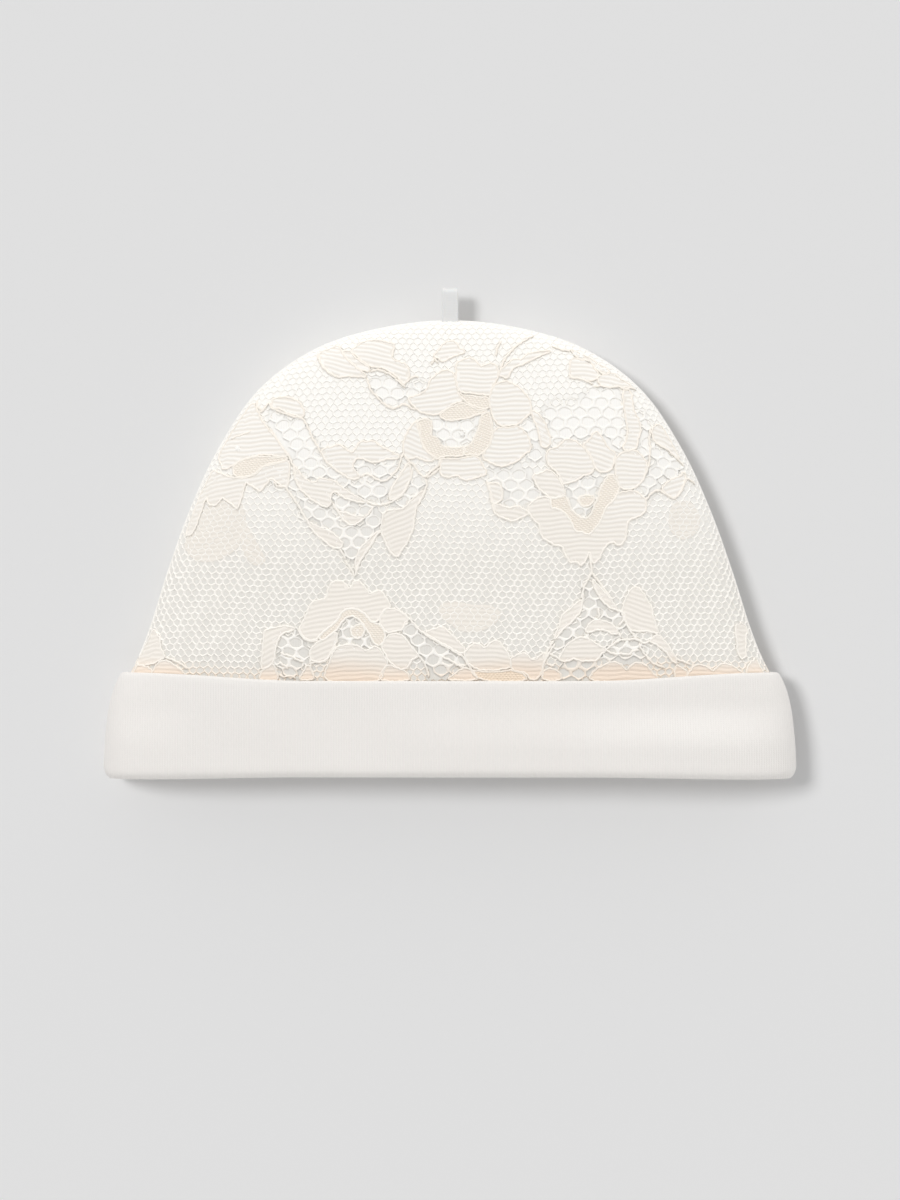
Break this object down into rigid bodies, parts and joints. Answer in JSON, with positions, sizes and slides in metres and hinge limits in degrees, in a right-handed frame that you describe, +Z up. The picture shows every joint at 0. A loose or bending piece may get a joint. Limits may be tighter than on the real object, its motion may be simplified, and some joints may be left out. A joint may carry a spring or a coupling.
{
  "type": "lace baby cap",
  "caption": "Newborn's cap of floral lace over a jersey lining, with a turned-up jersey cuff and a ribbon hanging loop at the crown, lying flat.",
  "frame": {"origin": "middle of the cap's outline seen from above, on the surface it lies on", "axes": "+X across the cap, +Y from the mouth towards the crown and its ribbon loop, +Z up out of the surface"},
  "size_m": [0.1698, 0.1199, 0.018],
  "materials": {
    "jersey": "fine cotton jersey, off-white, matte",
    "lace": "machine-made corded floral lace, ivory with a peach tint, matte",
    "ribbon": "narrow satin ribbon, white, soft sheen"
  },
  "bodies": {
    "root": {"lining": "jersey", "lace_front": "lace", "lace_back": "lace", "cuff": "jersey", "ribbon_loop": "ribbon"}
  },
  "joints": []
}
